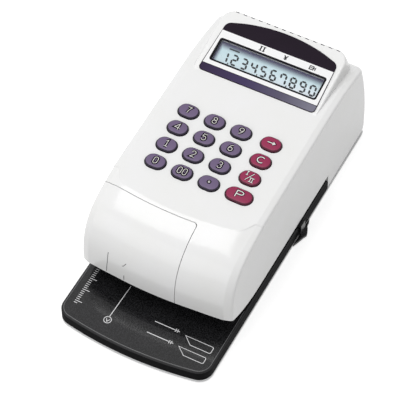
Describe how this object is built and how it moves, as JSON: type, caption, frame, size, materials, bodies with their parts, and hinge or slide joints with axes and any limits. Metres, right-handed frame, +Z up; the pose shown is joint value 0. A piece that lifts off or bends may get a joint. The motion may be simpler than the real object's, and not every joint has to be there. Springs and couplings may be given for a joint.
{
  "type": "check writer",
  "caption": "Desktop check writer: sloped keypad head with display over a flat print table, with a paper gap, type wheel, ink roller, feed rollers and a sliding paper stop.",
  "frame": {"origin": "middle of the base's plan, at desk level: the centre of the middle foot's flat underside", "axes": "+X to the operator's right, +Y to the rear, +Z up"},
  "size_m": [0.1125, 0.24, 0.0894],
  "materials": {
    "shell": "gloss",
    "tray": "satin",
    "table": "gloss",
    "plate_black": "satin",
    "label": "gloss",
    "window": "clear",
    "lcd": "satin",
    "key_violet": "satin",
    "key_crimson": "satin",
    "mat": "matt",
    "board": "satin",
    "screw": "zinc plated",
    "steel": "satin",
    "brass": "machined",
    "nylon": "satin",
    "motor": "satin",
    "ink_foam": "matt",
    "holder": "satin",
    "coil": "varnished",
    "roller": "matt",
    "foot": "matt",
    "stop_black": "gloss"
  },
  "bodies": {
    "base": {"base_tray": "tray", "print_table": "table", "upper_housing": "shell", "head_plate": "plate_black", "display_label": "label", "lcd_window": "window", "lcd_glass": "lcd", "key_mat": "mat", "key_board": "board", "board_screws": "screw", "main_board": "board", "head_frame": "steel", "wheel_motor": "motor", "ink_holder": "holder", "lift_solenoid": "coil", "feed_motor": "motor", "feed_bracket": "steel", "pinch_bracket": "steel", "stop_rail": "steel", "transformer": "coil", "power_inlet": "holder", "feet": "foot", "case_screws": "screw"},
    "cover": {"ink_cover": "shell"},
    "stop": {"paper_stop": "stop_black"},
    "wheel": {"type_wheel": "brass", "type_shaft": "steel", "wheel_gear": "nylon"},
    "pinion": {"motor_pinion": "brass"},
    "ink": {"ink_roller": "ink_foam"},
    "hammer": {"anvil": "steel"},
    "rod": {"lift_rod": "steel"},
    "feed": {"feed_roller": "roller", "feed_gear": "nylon"},
    "feed_drive": {"feed_pinion": "nylon"},
    "arm": {"pinch_arm": "steel"},
    "pinch": {"pinch_roller": "roller"},
    "rocker": {"power_switch": "holder"},
    "b_key_0": {"key_0": "key_violet"},
    "b_key_00": {"key_00": "key_violet"},
    "b_key_dot": {"key_dot": "key_violet"},
    "b_key_1": {"key_1": "key_violet"},
    "b_key_2": {"key_2": "key_violet"},
    "b_key_3": {"key_3": "key_violet"},
    "b_key_4": {"key_4": "key_violet"},
    "b_key_5": {"key_5": "key_violet"},
    "b_key_6": {"key_6": "key_violet"},
    "b_key_7": {"key_7": "key_violet"},
    "b_key_8": {"key_8": "key_violet"},
    "b_key_9": {"key_9": "key_violet"},
    "b_key_arrow": {"key_arrow": "key_crimson"},
    "b_key_clear": {"key_clear": "key_crimson"},
    "b_key_mode": {"key_mode": "key_crimson"},
    "b_key_print": {"key_print": "key_crimson"}
  },
  "joints": [
    {"name": "cover_slide", "type": "slide", "parent": "base", "child": "cover", "axis": [0, -1, 0], "range_m": [0, 0.026]},
    {"name": "stop_slide", "type": "slide", "parent": "base", "child": "stop", "axis": [0, 1, 0], "range_m": [-0.04, 0.025]},
    {"name": "wheel_spin", "type": "hinge", "parent": "base", "child": "wheel", "pos_m": [-0.022, -0.05, 0.0322], "axis": [1, 0, 0], "continuous": true},
    {"name": "pinion_spin", "type": "hinge", "parent": "base", "child": "pinion", "pos_m": [-0.022, -0.0308, 0.0322], "axis": [1, 0, 0], "continuous": true},
    {"name": "ink_spin", "type": "hinge", "parent": "base", "child": "ink", "pos_m": [-0.022, -0.06594, 0.05054], "axis": [1, 0, 0], "continuous": true},
    {"name": "rod_slide", "type": "slide", "parent": "base", "child": "rod", "axis": [0, -1, 0], "range_m": [0, 0.008], "stiffness_N_per_m": 300, "springref_m": -0.002},
    {"name": "anvil_lift", "type": "slide", "parent": "base", "child": "hammer", "axis": [0, 0, 1], "range_m": [0, 0.0055]},
    {"name": "feed_spin", "type": "hinge", "parent": "base", "child": "feed", "pos_m": [0.008, -0.05, 0.00735], "axis": [0, 1, 0], "continuous": true},
    {"name": "feed_drive_spin", "type": "hinge", "parent": "base", "child": "feed_drive", "pos_m": [0.008, 0.067, 0.01785], "axis": [0, 1, 0], "continuous": true},
    {"name": "arm_hinge", "type": "hinge", "parent": "base", "child": "arm", "pos_m": [0.023, -0.05, 0.025], "axis": [0, -1, 0], "range_deg": [0, 26.5], "stiffness_Nm_per_rad": 0.01, "springref_deg": -11.46},
    {"name": "pinch_spin", "type": "hinge", "parent": "arm", "child": "pinch", "pos_m": [0.008, -0.05, 0.0216], "axis": [0, 1, 0], "continuous": true},
    {"name": "switch_rock", "type": "hinge", "parent": "base", "child": "rocker", "pos_m": [-0.028, 0.112, 0.052], "axis": [1, 0, 0], "range_deg": [0, 20]},
    {"name": "press_0", "type": "slide", "parent": "base", "child": "b_key_0", "axis": [0, 0.0483, -0.9988], "range_m": [0, 0.0015], "stiffness_N_per_m": 400, "springref_m": -0.0005},
    {"name": "press_00", "type": "slide", "parent": "base", "child": "b_key_00", "axis": [0, 0.0483, -0.9988], "range_m": [0, 0.0015], "stiffness_N_per_m": 400, "springref_m": -0.0005},
    {"name": "press_dot", "type": "slide", "parent": "base", "child": "b_key_dot", "axis": [0, 0.0483, -0.9988], "range_m": [0, 0.0015], "stiffness_N_per_m": 400, "springref_m": -0.0005},
    {"name": "press_1", "type": "slide", "parent": "base", "child": "b_key_1", "axis": [0, 0.0483, -0.9988], "range_m": [0, 0.0015], "stiffness_N_per_m": 400, "springref_m": -0.0005},
    {"name": "press_2", "type": "slide", "parent": "base", "child": "b_key_2", "axis": [0, 0.0483, -0.9988], "range_m": [0, 0.0015], "stiffness_N_per_m": 400, "springref_m": -0.0005},
    {"name": "press_3", "type": "slide", "parent": "base", "child": "b_key_3", "axis": [0, 0.0483, -0.9988], "range_m": [0, 0.0015], "stiffness_N_per_m": 400, "springref_m": -0.0005},
    {"name": "press_4", "type": "slide", "parent": "base", "child": "b_key_4", "axis": [0, 0.0483, -0.9988], "range_m": [0, 0.0015], "stiffness_N_per_m": 400, "springref_m": -0.0005},
    {"name": "press_5", "type": "slide", "parent": "base", "child": "b_key_5", "axis": [0, 0.0483, -0.9988], "range_m": [0, 0.0015], "stiffness_N_per_m": 400, "springref_m": -0.0005},
    {"name": "press_6", "type": "slide", "parent": "base", "child": "b_key_6", "axis": [0, 0.0483, -0.9988], "range_m": [0, 0.0015], "stiffness_N_per_m": 400, "springref_m": -0.0005},
    {"name": "press_7", "type": "slide", "parent": "base", "child": "b_key_7", "axis": [0, 0.0483, -0.9988], "range_m": [0, 0.0015], "stiffness_N_per_m": 400, "springref_m": -0.0005},
    {"name": "press_8", "type": "slide", "parent": "base", "child": "b_key_8", "axis": [0, 0.0483, -0.9988], "range_m": [0, 0.0015], "stiffness_N_per_m": 400, "springref_m": -0.0005},
    {"name": "press_9", "type": "slide", "parent": "base", "child": "b_key_9", "axis": [0, 0.0483, -0.9988], "range_m": [0, 0.0015], "stiffness_N_per_m": 400, "springref_m": -0.0005},
    {"name": "press_arrow", "type": "slide", "parent": "base", "child": "b_key_arrow", "axis": [0, 0.0483, -0.9988], "range_m": [0, 0.0015], "stiffness_N_per_m": 400, "springref_m": -0.0005},
    {"name": "press_clear", "type": "slide", "parent": "base", "child": "b_key_clear", "axis": [0, 0.0483, -0.9988], "range_m": [0, 0.0015], "stiffness_N_per_m": 400, "springref_m": -0.0005},
    {"name": "press_mode", "type": "slide", "parent": "base", "child": "b_key_mode", "axis": [0, 0.0483, -0.9988], "range_m": [0, 0.0015], "stiffness_N_per_m": 400, "springref_m": -0.0005},
    {"name": "press_print", "type": "slide", "parent": "base", "child": "b_key_print", "axis": [0, 0.0483, -0.9988], "range_m": [0, 0.0015], "stiffness_N_per_m": 400, "springref_m": -0.0005}
  ],
  "couplings": [
    {"joint": "pinion_spin", "follows": "wheel_spin", "ratio": -3},
    {"joint": "ink_spin", "follows": "wheel_spin", "ratio": -1.6667},
    {"joint": "anvil_lift", "follows": "rod_slide", "ratio": 0.6875},
    {"joint": "feed_drive_spin", "follows": "feed_spin", "ratio": -0.5}
  ]
}
